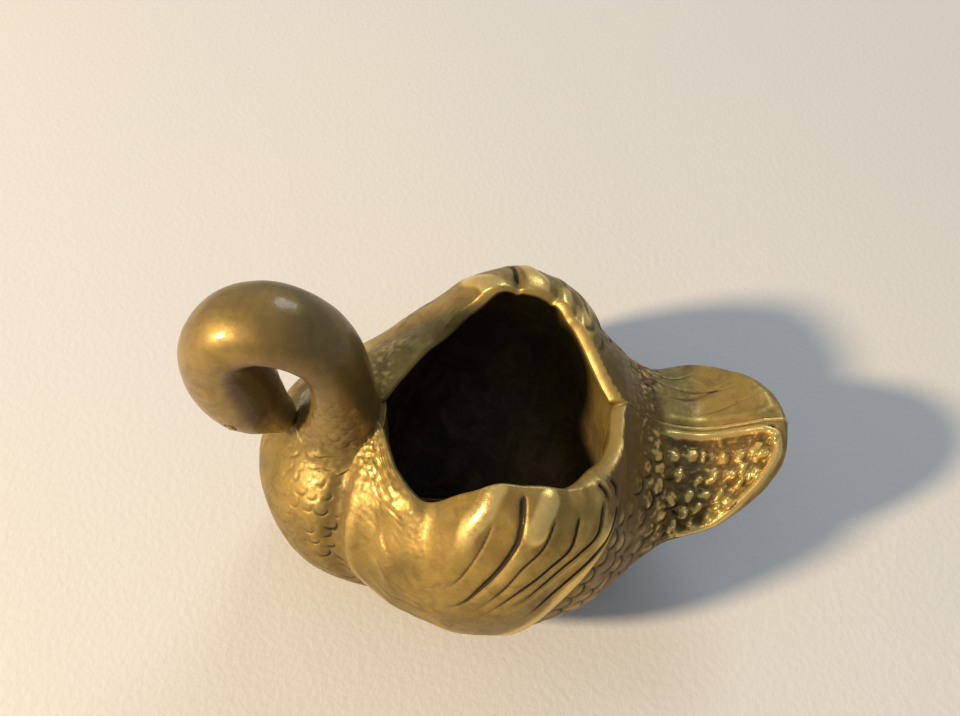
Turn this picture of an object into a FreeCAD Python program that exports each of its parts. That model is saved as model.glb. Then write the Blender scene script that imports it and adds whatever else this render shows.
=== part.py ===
import FreeCAD, Part
import os
from math import cos, radians, sin
from FreeCAD import Placement, Rotation, Vector

# A small cast-brass swan dish: two hollow body halves, each with its wing and its half of the tail,
# a solid neck with the head and bill, and the brazing down the middle and round the neck's foot.
# The swan faces -X, +Z is up, and the flat foot rests on Z = 0. The origin is the centre of the
# footprint. Every curved shape is a loft through ovals, and each oval is a unit round scaled to size.

doc = FreeCAD.newDocument("SwanDish")

# ---- driving sizes, in millimetres ----

SIZES = [
    ("head_overhang", 5.9, "curve of the neck in front of the breast"),
    ("bowl_length", 55.0, "front of the breast to the outside of the rear rim"),
    ("tail_length", 24.9, "rear rim to the tip of the tail"),
    ("bowl_width", 56.4, "over both wings"),
    ("rim_height", 40.0, "highest point of the rim, near the middle of the wings"),
    ("front_rim_height", 32.0, "rim beside the neck"),
    ("rim_radius", 30.0, "curve of the rim seen from the side"),
    ("foot_cut", 1.5, "how much of the round belly the flat foot takes off"),
    ("wall", 2.0, "thickness of the bowl's side"),
    ("floor_wall", 2.4, "thickness of the bowl's floor above the foot"),
    ("wing_step", 2.2, "how far the wing stands out from the body"),
    ("tail_width", 29.0, "tail, where it leaves the body"),
    ("tail_thickness", 9.2, "tail, halfway along"),
    ("tail_root_height", 19.5, "middle of the tail's root"),
    ("tail_tip_height", 28.1, "middle of the tail's tip"),
    ("swan_height", 58.4, "top of the neck"),
    ("neck_depth", 8.6, "neck, front to back"),
    ("head_depth", 11.0, "head, front to back"),
    ("neck_breadth", 10.8, "neck, side to side"),
    ("neck_span", 18.0, "between the centre lines of the neck's two limbs"),
    ("neck_root_depth", 7.0, "how far the neck's root goes down into the breast"),
    ("head_drop", 6.8, "straight length above the head"),
    ("bill_radius", 10.0, "curve of the head and bill, tucked in to the breast"),
    ("seam_width", 0.6, "brazing between the two halves"),
    ("collar_width", 2.4, "brazing round the foot of the neck"),
    ("collar_height", 1.8, "brazing round the foot of the neck, above the rim"),
]

sheet = doc.addObject("Spreadsheet::Sheet", "Sizes")
for row, (alias, value, note) in enumerate(SIZES, 1):
    sheet.set(f"A{row}", note)
    sheet.set(f"B{row}", str(value))
    sheet.setAlias(f"B{row}", alias)
doc.recompute()

# ---- places worked out from the driving sizes, as expressions ----

FRONT = "(-(Sizes.head_overhang + Sizes.bowl_length + Sizes.tail_length) / 2)"
BREAST = f"({FRONT} + Sizes.head_overhang)"
REAR_RIM = f"({BREAST} + Sizes.bowl_length)"
NECK_FRONT = f"({FRONT} + Sizes.neck_depth / 2)"
NECK_REAR = f"({NECK_FRONT} + Sizes.neck_span)"
LOOP_X = f"({NECK_FRONT} + Sizes.neck_span / 2)"
LOOP_Z = "(Sizes.swan_height - Sizes.neck_depth / 2 - Sizes.neck_span / 2)"
BILL_X = f"({NECK_FRONT} + Sizes.bill_radius)"
BILL_Z = f"({LOOP_Z} - Sizes.head_drop)"
ROOT_Z = "(Sizes.front_rim_height - Sizes.neck_root_depth)"

# ---- ovals and lofts ----

FACING_X = Rotation(Vector(0, 1, 0), Vector(0, 0, 1), Vector(1, 0, 0), "XYZ")

# a round of radius 1 as one smooth closed spline, which lofts more evenly than a true circle;
# its ends meet beside the underside, clear of the middle, where the two halves are divided
ROUND_POINTS = 8
ROUND_START = -80
roundPoints = []
for i in range(ROUND_POINTS):
    angle = radians(ROUND_START + 360 * i / ROUND_POINTS)
    roundPoints.append(Vector(cos(angle), sin(angle), 0))
roundCurve = Part.BSplineCurve()
roundCurve.interpolate(roundPoints, PeriodicFlag=True)
unitRound = doc.addObject("Part::Feature", "UnitRound")
unitRound.Shape = roundCurve.toShape()


def oval(name, x, z, acrossX, acrossY, rotation):
    section = doc.addObject("Part::Scale", name)
    section.Base = unitRound
    section.Uniform = False
    section.ZScale = 1
    section.setExpression("XScale", acrossX)
    section.setExpression("YScale", acrossY)
    section.Placement = Placement(Vector(), rotation)
    section.setExpression(".Placement.Base.x", f"({x}) * 1 mm")
    section.setExpression(".Placement.Base.z", f"({z}) * 1 mm")
    return section


# an upright oval across the body, from its half width and its lowest and highest points
def bodyOval(name, x, halfWidth, low, high):
    return oval(name, x, f"(({low}) + ({high})) / 2", halfWidth, f"(({high}) - ({low})) / 2", FACING_X)


def loft(name, sections):
    solid = doc.addObject("Part::Loft", name)
    solid.Sections = sections
    solid.Solid = True
    return solid


def cut(name, base, tool):
    result = doc.addObject("Part::Cut", name)
    result.Base = base
    result.Tool = tool
    return result


def box(name, sizes, corner):
    block = doc.addObject("Part::Box", name)
    for side, size in zip(("Length", "Width", "Height"), sizes):
        block.setExpression(side, f"({size}) * 1 mm")
    for axis, place in zip("xyz", corner):
        block.setExpression(f".Placement.Base.{axis}", f"({place}) * 1 mm")
    return block


# ---- outside of the body: breast, belly and tail ----

# along the bowl from the breast: half width, underside and back, as shares of width and rim height
BODY_OVALS = [
    (0.00, 0.12, 0.36, 0.49),
    (0.03, 0.36, 0.20, 0.63),
    (0.09, 0.56, 0.08, 0.735),
    (0.19, 0.70, 0.01, 0.79),
    (0.37, 0.84, 0.00, 0.86),
    (0.59, 1.00, 0.00, 1.06),
    (0.72, 1.00, 0.00, 1.10),
    (0.83, 0.96, 0.01, 1.06),
    (0.92, 0.87, 0.05, 0.97),
    (0.99, 0.77, 0.12, 0.90),
]
# along the tail from the rim: half width, how far the middle has risen to the tip, and thickness
TAIL_OVALS = [
    (0.14, 1.17, 0.00, 2.60),
    (0.34, 1.00, 0.13, 1.45),
    (0.50, 0.89, 0.34, 1.00),
    (0.70, 0.70, 0.66, 0.76),
    (0.86, 0.50, 0.90, 0.60),
    (1.00, 0.14, 1.00, 0.28),
]
BODY_HALF = "(Sizes.bowl_width / 2 - Sizes.wing_step)"


def bodyOvals(name, rows, halfWidth, inset=0, drop="Sizes.foot_cut", crown=0):
    sections = []
    for i, (along, wide, low, high) in enumerate(rows):
        sections.append(bodyOval(
            f"{name}{i}",
            f"{BREAST} + Sizes.bowl_length * {along}",
            f"{halfWidth} * {wide} - {inset}",
            f"Sizes.rim_height * {low} - {drop}",
            f"Sizes.rim_height * {high} - {crown}",
        ))
    return sections


tailOvals = []
for i, (along, wide, rise, thick) in enumerate(TAIL_OVALS):
    middle = f"(Sizes.tail_root_height + (Sizes.tail_tip_height - Sizes.tail_root_height) * {rise})"
    halfThick = f"(Sizes.tail_thickness * {thick} / 2)"
    tailOvals.append(bodyOval(
        f"TailOval{i}",
        f"{REAR_RIM} + Sizes.tail_length * {along}",
        f"Sizes.tail_width / 2 * {wide}",
        f"{middle} - {halfThick}",
        f"{middle} + {halfThick}",
    ))
body = loft("BodyOutside", bodyOvals("BodyOval", BODY_OVALS, BODY_HALF) + tailOvals)

# ---- the wings, one thick band over the sides of the body ----

WING_OVALS = [
    (0.33, 0.70, 0.15, 0.78),
    (0.48, 0.93, 0.10, 0.97),
    (0.61, 1.00, 0.08, 1.08),
    (0.74, 1.00, 0.08, 1.115),
    (0.85, 0.94, 0.11, 1.06),
    (0.94, 0.83, 0.17, 0.95),
]
wings = loft("WingOutside", bodyOvals("WingOval", WING_OVALS, "(Sizes.bowl_width / 2)", drop=0))
outside = doc.addObject("Part::Fuse", "Outside")
outside.Base = body
outside.Tool = wings

# ---- the hollow, the rim and the flat foot ----

HOLLOW_OVALS = [
    (0.19, 0.30, 0.25, 0.56),
    (0.24, 0.60, 0.12, 0.72),
    (0.35, 0.82, 0.02, 0.86),
    (0.59, 1.00, 0.00, 1.08),
    (0.72, 1.00, 0.00, 1.11),
    (0.83, 0.93, 0.03, 1.06),
    (0.91, 0.76, 0.13, 1.00),
    (0.96, 0.50, 0.30, 0.96),
]
hollow = loft("Hollow", bodyOvals(
    "HollowOval", HOLLOW_OVALS, BODY_HALF,
    inset="Sizes.wall", drop="(-Sizes.floor_wall)", crown="Sizes.wall / 2"))

REACH = "(Sizes.bowl_length * 2)"
WIDE = "(Sizes.bowl_width * 1.2)"
aboveRim = box("AboveRim", (REACH, WIDE, "Sizes.swan_height * 2"),
               (f"{BREAST} - Sizes.bowl_length / 4", f"-{WIDE} / 2", "Sizes.front_rim_height"))
RIM_PEAK = 0.72
rimCurve = doc.addObject("Part::Cylinder", "RimCurve")
rimCurve.setExpression("Radius", "Sizes.rim_radius * 1 mm")
rimCurve.setExpression("Height", f"{WIDE} * 1 mm")
rimCurve.Placement = Placement(Vector(), Rotation(Vector(1, 0, 0), 90))
rimCurve.setExpression(".Placement.Base.x", f"({BREAST} + Sizes.bowl_length * {RIM_PEAK}) * 1 mm")
rimCurve.setExpression(".Placement.Base.y", f"{WIDE} / 2 * 1 mm")
rimCurve.setExpression(".Placement.Base.z", "(Sizes.rim_height - Sizes.rim_radius) * 1 mm")
rimTool = cut("RimTool", aboveRim, rimCurve)
belowFoot = box("BelowFoot", (REACH, WIDE, "Sizes.rim_height / 2"),
                (f"{BREAST} - Sizes.bowl_length / 4", f"-{WIDE} / 2", "-Sizes.rim_height / 2"))
rimmed = cut("Rimmed", outside, rimTool)
footed = cut("Footed", rimmed, belowFoot)
shell = cut("Shell", footed, hollow)

# ---- neck, head and bill, one casting ----

# up the rear limb from the root: height share, depth and breadth factors
LIMB_OVALS = [(0.0, 1.55, 1.35), (0.35, 1.22, 1.10), (0.68, 1.00, 0.97)]
# over the top, by degrees of turn
LOOP_OVALS = [
    (0, 0.98, 0.98, 0.0), (45, 1.0, 1.04, 0.1), (90, 1.0, 1.06, 0.3), (135, 1.0, 1.04, 0.7),
    (180, 0.97, 1.0, 1.0),
]
# round under the head to the tip of the bill
BILL_OVALS = [(180, 0.96, 1.0, 1.0), (205, 0.84, 0.93, 1.0), (227, 0.62, 0.70, 0.7), (246, 0.40, 0.46, 0.3)]

neckOvals = []


# growth is how far the depth has passed from the neck's to the head's; it grows on the inside of the loop
def neckOval(x, z, turn, deep, broad, growth=0):
    depth = f"(Sizes.neck_depth + (Sizes.head_depth - Sizes.neck_depth) * {growth})"
    inward = f"((Sizes.head_depth - Sizes.neck_depth) / 2 * {growth * deep})"
    neckOvals.append(oval(
        f"NeckOval{len(neckOvals)}",
        f"{x} - {inward} * cos({turn} deg)", f"{z} - {inward} * sin({turn} deg)",
        f"{depth} / 2 * {deep}", f"Sizes.neck_breadth / 2 * {broad}",
        Rotation(Vector(0, 1, 0), -turn)))


def neckArc(centreX, centreZ, radius, rows):
    for turn, deep, broad, growth in rows:
        neckOval(f"{centreX} + {radius} * cos({turn} deg)", f"{centreZ} + {radius} * sin({turn} deg)",
                 turn, deep, broad, growth)


for share, deep, broad in LIMB_OVALS:
    neckOval(NECK_REAR, f"{ROOT_Z} + ({LOOP_Z} - {ROOT_Z}) * {share}", 0, deep, broad)
neckArc(LOOP_X, LOOP_Z, "Sizes.neck_span / 2", LOOP_OVALS)
neckArc(BILL_X, BILL_Z, "Sizes.bill_radius", BILL_OVALS)
neck = loft("NeckAndHead", neckOvals)
neck.Label = "neck_and_head"

# ---- the two halves and the brazing between them ----

socketed = cut("Socketed", shell, neck)


def bodySlice(name, label, low, width):
    slab = box(f"{name}Side", (REACH, width, "Sizes.swan_height * 2"),
               (f"{BREAST} - Sizes.bowl_length / 4", low, "-Sizes.swan_height / 2"))
    half = doc.addObject("Part::Common", name)
    half.Base = socketed
    half.Tool = slab
    half.Label = label
    return half


HALF_SEAM = "(Sizes.seam_width / 2)"
leftHalf = bodySlice("LeftBodyHalf", "left_body_half", f"-{HALF_SEAM} - {WIDE}", WIDE)
rightHalf = bodySlice("RightBodyHalf", "right_body_half", HALF_SEAM, WIDE)
seam = bodySlice("CentreSeamBraze", "centre_seam_braze", f"-{HALF_SEAM}", "Sizes.seam_width")

# ---- the collar of brazing round the foot of the neck ----

collar = doc.addObject("Part::Cone", "Collar")
collar.setExpression("Radius1", "(Sizes.neck_breadth / 2 + Sizes.collar_width) * 1 mm")
collar.setExpression("Radius2", "(Sizes.neck_breadth / 2 + Sizes.collar_width / 3) * 1 mm")
collar.setExpression("Height", "(Sizes.wall + Sizes.collar_height) * 1 mm")
collar.setExpression(".Placement.Base.x", f"{NECK_REAR} * 1 mm")
collar.setExpression(".Placement.Base.z", "(Sizes.front_rim_height - Sizes.wall) * 1 mm")
collarOnBody = cut("CollarOnBody", collar, footed)
collarRing = cut("NeckRootBraze", collarOnBody, neck)
collarRing.Label = "neck_root_braze"

# ---- build, check and write ----

PIECES = [leftHalf, rightHalf, neck, seam, collarRing]

doc.recompute()
for item in doc.Objects:
    if "Invalid" in item.State or "Error" in item.State:
        raise RuntimeError(f"{item.Label} failed to build: {item.State}")
for piece in PIECES:
    if piece.Shape.isNull() or not piece.Shape.isValid() or not piece.Shape.Solids:
        raise RuntimeError(f"{piece.Label} has no valid solid")

os.makedirs("parts", exist_ok=True)
for piece in PIECES:
    piece.Shape.exportStep(f"parts/{piece.Label}.step")
    print(f"{piece.Label}: {len(piece.Shape.Solids)} solid, {piece.Shape.Volume / 1000:.2f} cm3")
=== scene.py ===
import math

import bmesh
import bpy
import numpy as np
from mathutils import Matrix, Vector, noise


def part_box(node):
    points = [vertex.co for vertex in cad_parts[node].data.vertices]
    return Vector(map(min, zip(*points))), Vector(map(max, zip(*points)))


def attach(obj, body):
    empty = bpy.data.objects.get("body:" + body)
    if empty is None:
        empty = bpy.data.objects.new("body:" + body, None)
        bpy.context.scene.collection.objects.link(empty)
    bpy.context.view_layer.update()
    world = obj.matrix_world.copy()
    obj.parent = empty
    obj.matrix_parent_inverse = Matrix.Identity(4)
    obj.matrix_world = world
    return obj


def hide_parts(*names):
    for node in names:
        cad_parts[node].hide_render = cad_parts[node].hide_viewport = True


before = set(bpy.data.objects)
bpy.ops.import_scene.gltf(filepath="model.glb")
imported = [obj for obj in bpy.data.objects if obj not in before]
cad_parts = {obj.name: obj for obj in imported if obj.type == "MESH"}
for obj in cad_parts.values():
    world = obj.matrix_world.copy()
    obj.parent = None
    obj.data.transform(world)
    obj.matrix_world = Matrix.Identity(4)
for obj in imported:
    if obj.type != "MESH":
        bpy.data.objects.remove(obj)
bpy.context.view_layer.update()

bodyLow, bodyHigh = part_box("left_body_half")
neckLow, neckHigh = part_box("neck_and_head")
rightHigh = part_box("right_body_half")[1]
mm = 0.001

# everything below is in millimetres: along from the front of the breast, out from the middle, up


def smoothTable(values, at):
    values = np.asarray(values, float)
    steps = np.diff(values)
    slopes = np.zeros(len(values))
    for i in range(1, len(values) - 1):
        if steps[i - 1] * steps[i] > 0:
            slopes[i] = 2 * steps[i - 1] * steps[i] / (steps[i - 1] + steps[i])
    slopes[0], slopes[-1] = steps[0], steps[-1]
    i = np.clip(np.asarray(at).astype(int), 0, len(values) - 2)
    s = at - i
    return ((2 * s**3 - 3 * s**2 + 1) * values[i] + (s**3 - 2 * s**2 + s) * slopes[i]
            + (3 * s**2 - 2 * s**3) * values[i + 1] + (s**3 - s**2) * slopes[i + 1])


def fade(low, high, value):
    t = np.clip((value - low) / (high - low), 0, 1)
    return t * t * (3 - 2 * t)


def grain(points, size, seed=0):
    shift = Vector((seed * 7.3, seed * 3.1, seed * 5.7))
    flat = points.reshape(-1, 3) / size
    values = [noise.noise(Vector(p) + shift) for p in flat.tolist()]
    return np.array(values).reshape(points.shape[:-1])


def normalsOf(points):
    across = np.cross(np.gradient(points, axis=1), np.gradient(points, axis=0))
    return across / (np.linalg.norm(across, axis=-1, keepdims=True) + 1e-9)


# distance from every point to a line, the share of the line at that place, and the side of it
def lineField(points, line, reach=9.0, normals=None):
    flat = points.reshape(-1, 3)
    near = np.where(((flat > line.min(0) - reach) & (flat < line.max(0) + reach)).all(1))[0]
    some = flat[near]
    best = np.full(len(near), float(reach))
    along = np.zeros(len(near))
    side = np.zeros(len(near))
    facing = None if normals is None else normals.reshape(-1, 3)[near]
    count = len(line) - 1
    for i in range(count):
        start, step = line[i], line[i + 1] - line[i]
        t = np.clip((some - start) @ step / (step @ step + 1e-9), 0, 1)
        offset = some - (start + t[:, None] * step)
        far = np.linalg.norm(offset, axis=1)
        closer = far < best
        best[closer] = far[closer]
        along[closer] = (i + t[closer]) / count
        if facing is not None:
            across = np.cross(step / np.linalg.norm(step), facing[closer])
            side[closer] = (offset[closer] * across).sum(1)
    fields = [np.full(len(flat), float(reach)), np.zeros(len(flat)), np.zeros(len(flat))]
    for field, values in zip(fields, (best, along, side)):
        field[near] = values
    fields = [field.reshape(points.shape[:-1]) for field in fields]
    return fields[:2] if normals is None else fields


def spread(field, reach):  # a plain running average over the grid, both ways
    for axis in (0, 1):
        padding = [(reach, reach) if axis == k else (0, 0) for k in (0, 1)]
        total = np.cumsum(np.pad(field, padding, mode="edge"), axis=axis)
        total = np.insert(total, 0, 0, axis=axis)
        size = 2 * reach + 1
        count = field.shape[axis]
        ahead = np.take(total, range(size, size + count), axis)
        field = (ahead - np.take(total, range(count), axis)) / size
    return field


def addPiece(name, points, faces, node, material, marks):
    mesh = bpy.data.meshes.new(name)
    mesh.from_pydata((np.asarray(points) * mm).tolist(), [], faces)
    for markName, values in marks.items():
        mark = mesh.attributes.new(markName, "FLOAT", "POINT")
        mark.data.foreach_set("value", np.asarray(values, np.float32))
    bm = bmesh.new()
    bm.from_mesh(mesh)
    bmesh.ops.remove_doubles(bm, verts=bm.verts, dist=1e-6)
    bmesh.ops.dissolve_degenerate(bm, edges=bm.edges, dist=1e-7)
    holes = [edge for edge in bm.edges if edge.is_boundary]
    if holes:
        filled = bmesh.ops.holes_fill(bm, edges=holes, sides=0)["faces"]
        bmesh.ops.triangulate(bm, faces=filled)
    bmesh.ops.recalc_face_normals(bm, faces=bm.faces)
    bm.to_mesh(mesh)
    bm.free()
    mesh.polygons.foreach_set("use_smooth", [True] * len(mesh.polygons))
    piece = bpy.data.objects.new(name, mesh)
    bpy.context.scene.collection.objects.link(piece)
    mesh.materials.append(material)
    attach(piece, "root")
    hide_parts(node)
    triangles = sum(len(face.vertices) - 2 for face in mesh.polygons)
    print(f"{name}: {triangles} triangles")


# faces between the rows of a grid, joined round into a tube if closed and end to end if looped
def gridFaces(rows, columns, start=0, closed=False, looped=False):
    faces = []
    for r in range(rows if looped else rows - 1):
        a, b = start + r * columns, start + (r + 1) % rows * columns
        for c in range(columns if closed else columns - 1):
            d = (c + 1) % columns
            faces.append((a + c, a + d, b + d, b + c))
    return faces


def noiseNode(tree, place, scale, detail, rough=0.5, distort=0.0):
    texture = tree.nodes.new("ShaderNodeTexNoise")
    sockets = {"Scale": scale, "Detail": detail, "Roughness": rough, "Distortion": distort}
    for name, value in sockets.items():
        texture.inputs[name].default_value = value
    tree.links.new(place, texture.inputs["Vector"])
    return texture.outputs["Fac"]


def addBump(tree, shader, height, strength, distance):
    bump = tree.nodes.new("ShaderNodeBump")
    bump.inputs["Strength"].default_value = strength
    bump.inputs["Distance"].default_value = distance
    tree.links.new(height, bump.inputs["Height"])
    tree.links.new(bump.outputs["Normal"], shader.inputs["Normal"])


# brass

# the brightest colour is partly rubbed metal and partly a painted highlight; the tarnishing colour
# and the darkest colour also carry painted shade and painted shadow
aging = {
    "brightWearAndHighlight": (1.0, 0.68, 0.21), "brass": (0.35, 0.225, 0.050), "olive": (0.21, 0.150, 0.038),
    "brown": (0.14, 0.078, 0.024), "tarnishAndShade": (0.135, 0.073, 0.018), "grimeAndShade": (0.020, 0.012, 0.007),
}


def makeAgedBrassGroup():
    group = bpy.data.node_groups.new("agedBrass", "ShaderNodeTree")
    nodes, links = group.nodes, group.links
    face = group.interface
    for name, kind, value in (
            ("Patina", "NodeSocketFloat", 0.5), ("Polish", "NodeSocketFloat", 0.5),
            ("Pitting", "NodeSocketFloat", 0.5), ("Relief", "NodeSocketFloat", 0.0),
            ("Inside", "NodeSocketFloat", 0.0), ("TarnishAndShade", "NodeSocketFloat", 0.0)):
        face.new_socket(name, in_out="INPUT", socket_type=kind).default_value = value
    for name, kind in (("Color", "NodeSocketColor"), ("Roughness", "NodeSocketFloat"),
                       ("Metallic", "NodeSocketFloat"), ("Height", "NodeSocketFloat")):
        face.new_socket(name, in_out="OUTPUT", socket_type=kind)
    source = nodes.new("NodeGroupInput")
    target = nodes.new("NodeGroupOutput")
    place = nodes.new("ShaderNodeTexCoord").outputs["Object"]

    def ramp(value, low, high, fromValue=0.0, toValue=1.0):
        mapper = nodes.new("ShaderNodeMapRange")
        mapper.interpolation_type = "SMOOTHSTEP"
        for socket, number in zip(list(mapper.inputs)[1:5], (low, high, fromValue, toValue)):
            socket.default_value = number
        links.new(value, mapper.inputs[0])
        return mapper.outputs[0]

    def combine(kind, a, b, clamp=False):
        step = nodes.new("ShaderNodeMath")
        step.operation = kind
        step.use_clamp = clamp
        for socket, value in zip(step.inputs, (a, b)):
            if isinstance(value, (int, float)):
                socket.default_value = value
            else:
                links.new(value, socket)
        return step.outputs[0]

    def times(a, b):
        return combine("MULTIPLY", a, b)

    def blend(fac, a, b):
        mix = nodes.new("ShaderNodeMix")
        mix.data_type = "RGBA"
        for socket, value in zip((mix.inputs[0], mix.inputs[6], mix.inputs[7]), (fac, a, b)):
            if isinstance(value, tuple):
                socket.default_value = (*value, 1)
            elif isinstance(value, (int, float)):
                socket.default_value = value
            else:
                links.new(value, socket)
        return mix.outputs[2]

    clouds = noiseNode(group, place, 70, 6, 0.6, 0.4)
    mottle = noiseNode(group, place, 260, 8, 0.65, 0.8)
    fine = noiseNode(group, place, 1500, 6, 0.7)
    pits = noiseNode(group, place, 2600, 3)
    patina, polish, pitting, relief, inside, tarnishAndShade = list(source.outputs)[:6]
    sunk = ramp(relief, -0.04, -0.26)
    proud = ramp(relief, 0.02, 0.22)
    sheltered = times(patina, ramp(mottle, 0.42, 0.66))
    cloudy = times(patina, ramp(clouds, 0.40, 0.60))
    # rubbed raised places: real wear, and a painted highlight on the knuckle, shoulder, tail border
    # and hammered patches
    wornAndHighlit = times(polish, proud)
    pitted = times(ramp(pits, 0.62, 0.78), pitting)
    dark = combine("ADD", sunk, pitted, True)
    color = blend(cloudy, aging["brass"], aging["olive"])
    color = blend(times(sheltered, 0.7), color, aging["brown"])
    # darker brown from the tarnishing mark: real tarnishing in places, and painted shade and painted
    # shadow on parts turned from the lamp or shadowed by others
    tarnishedAndShaded = times(tarnishAndShade, ramp(mottle, 0.1, 0.55, 0.7, 1.0))
    tarnishedAndShaded = times(tarnishedAndShaded, ramp(relief, 0.16, 0.0, 0.45, 1.0))
    color = blend(tarnishedAndShaded, color, aging["tarnishAndShade"])
    color = blend(times(wornAndHighlit, 0.85), color, aging["brightWearAndHighlight"])
    color = blend(times(dark, 0.93), color, aging["grimeAndShade"])
    # the inside mark darkens the bowl and the inner side of the neck's loop: tarnishing with painted
    # shade
    color = blend(times(inside, ramp(mottle, 0.15, 0.6, 0.75, 1.0)), color, aging["grimeAndShade"])
    links.new(color, target.inputs["Color"])
    rough = combine("ADD", ramp(fine, 0.3, 0.7, 0.36, 0.52), times(sheltered, 0.14))
    rough = combine("SUBTRACT", rough, times(wornAndHighlit, 0.2))
    rough = combine("ADD", rough, times(dark, 0.35))
    rough = combine("ADD", rough, times(inside, 0.3), True)
    links.new(rough, target.inputs["Roughness"])
    metal = combine("SUBTRACT", 0.52, times(dark, 0.45), True)
    metal = combine("SUBTRACT", metal, times(tarnishedAndShaded, 0.2), True)
    metal = combine("ADD", metal, times(wornAndHighlit, 0.3), True)
    metal = combine("SUBTRACT", metal, times(inside, 0.4), True)
    links.new(metal, target.inputs["Metallic"])
    height = combine("ADD", times(mottle, 0.5), times(fine, 0.35))
    height = combine("SUBTRACT", height, times(dark, 0.25))
    links.new(height, target.inputs["Height"])
    return group


agedBrass = makeAgedBrassGroup()


def makeBrass(name, patina, polish, pitting, bump, coat):
    material = bpy.data.materials.new(name)
    material.use_nodes = True
    nodes, links = material.node_tree.nodes, material.node_tree.links
    shader = nodes["Principled BSDF"]
    group = nodes.new("ShaderNodeGroup")
    group.node_tree = agedBrass
    for socket, value in (("Patina", patina), ("Polish", polish), ("Pitting", pitting)):
        group.inputs[socket].default_value = value
    for markName, socket in (("relief", "Relief"), ("inside", "Inside"), ("tarnishAndShade", "TarnishAndShade")):
        mark = nodes.new("ShaderNodeAttribute")
        mark.attribute_name = markName
        links.new(mark.outputs["Fac"], group.inputs[socket])
    for output, socket in (("Color", "Base Color"), ("Roughness", "Roughness"),
                           ("Metallic", "Metallic")):
        links.new(group.outputs[output], shader.inputs[socket])
    shader.inputs["Coat Weight"].default_value = coat
    shader.inputs["Coat Roughness"].default_value = 0.13
    shader.inputs["Specular IOR Level"].default_value = 0.25
    addBump(material.node_tree, shader, group.outputs["Height"], bump, 0.0002)
    return material


bodyBrass = makeBrass("bodyBrass", patina=0.75, polish=0.8, pitting=0.5, bump=0.5, coat=0.05)
neckBrass = makeBrass("neckBrass", patina=0.6, polish=0.5, pitting=0.35, bump=0.25, coat=0.35)
brazeBrass = makeBrass("brazeBrass", patina=0.6, polish=0.6, pitting=0.8, bump=0.8, coat=0.05)
print("brass ready")

# the two body halves

bodyShape = {
    "drawnSize": (79.9, 28.2, 40.0),  # the rows' own length, half width and rim height
    # along, half width, underside, height of the widest place, left and right half opening, top
    "rows": [
        (0.0, 0.3, 15.5, 17.0, 0.3, 0.3, 18.5),
        (0.8, 5.0, 10.5, 17.0, 0.3, 0.3, 22.5),
        (3.0, 9.8, 6.5, 16.8, 0.3, 0.3, 26.0),
        (6.0, 13.8, 3.2, 17.0, 0.3, 0.3, 28.6),
        (10.0, 17.0, 0.8, 17.5, 0.3, 0.3, 30.9),
        (15.0, 19.1, -0.6, 18.0, 0.3, 0.3, 32.0),
        (20.0, 20.8, -1.1, 18.7, 2.6, 1.2, 32.6),
        (23.0, 22.4, -1.3, 19.1, 10.4, 5.0, 33.0),
        (27.0, 24.4, -1.4, 19.7, 15.2, 10.4, 33.6),
        (32.5, 26.5, -1.5, 20.5, 15.7, 14.3, 36.8),
        (39.5, 26.8, -1.5, 21.0, 16.1, 16.2, 39.4),
        (45.5, 25.3, -1.2, 21.5, 15.9, 15.4, 38.2),
        (50.5, 23.0, -0.2, 21.0, 13.6, 8.9, 36.8),
        (54.0, 19.9, 2.2, 19.8, 8.2, 2.2, 35.4),
        (55.5, 18.6, 3.6, 19.2, 0.3, 0.3, 34.6),
        (58.5, 16.2, 7.0, 18.9, 0.3, 0.3, 31.0),
        (62.5, 14.2, 12.0, 19.8, 0.3, 0.3, 28.2),
        (67.5, 13.9, 17.6, 22.2, 0.3, 0.3, 27.0),
        (72.5, 11.7, 21.6, 25.0, 0.3, 0.3, 28.3),
        (76.5, 8.6, 24.4, 27.2, 0.3, 0.3, 29.8),
        (78.9, 4.8, 26.4, 28.0, 0.3, 0.3, 30.0),
        (79.9, 0.3, 27.6, 28.3, 0.3, 0.3, 29.0),
    ],
    "openFrom": 5, "openTo": 14,  # rows between which the back is open
    "seam": 0.3, "wall": 2.0, "frontWall": 3.0, "frontThin": 2.1, "floor": 2.4,
    "rimDrop": 0.9, "rimIn": 0.7, "rearRimIn": (2.4, 0.6),  # left, right
    "step": 0.35, "stepAt": 54.5,
    "gridRows": 352, "gridColumns": 230, "rimColumns": 7, "innerColumns": 40,
}
rowTable = np.array(bodyShape["rows"])
lastRow = len(rowTable) - 1
scaleOf = np.array([
    (bodyHigh.x - bodyLow.x) / mm / bodyShape["drawnSize"][0],
    rightHigh.y / mm / bodyShape["drawnSize"][1],
    bodyHigh.z / mm / bodyShape["drawnSize"][2],
])
breastAt = np.array([bodyLow.x / mm, 0, 0])


# turn runs from 0 under the belly to 1 at the rim or the middle of the back
def bodyPoint(row, turn, sign=-1):
    row, turn = np.broadcast_arrays(np.asarray(row, float), np.asarray(turn, float))
    columns = [smoothTable(rowTable[:, k], row) for k in range(7)]
    along, half, under, middle, left, right, top = columns
    opening = left if sign < 0 else right
    below = turn < 0.5
    angle = np.where(below, turn, turn - 0.5) * math.pi
    out = np.where(below, half * np.sin(angle), opening + (half - opening) * np.cos(angle))
    up = np.where(below, middle - (middle - under) * np.cos(angle),
                  middle + (top - middle) * np.sin(angle))
    return np.stack([along, np.maximum(out, bodyShape["seam"]), np.maximum(up, 0)], -1)


fineRows = np.linspace(0, lastRow, 4001)
fineAlong = smoothTable(rowTable[:, 0], fineRows)


def rowAt(along):
    return np.interp(along, fineAlong, fineRows)


# a smooth line on the body through places given as (along, turn)
def lineOnBody(places, count=28, sign=-1):
    places = np.array(places, float)
    at = np.linspace(0, len(places) - 1, count)
    along, turn = smoothTable(places[:, 0], at), smoothTable(places[:, 1], at)
    return bodyPoint(rowAt(along), turn, sign)


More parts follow.
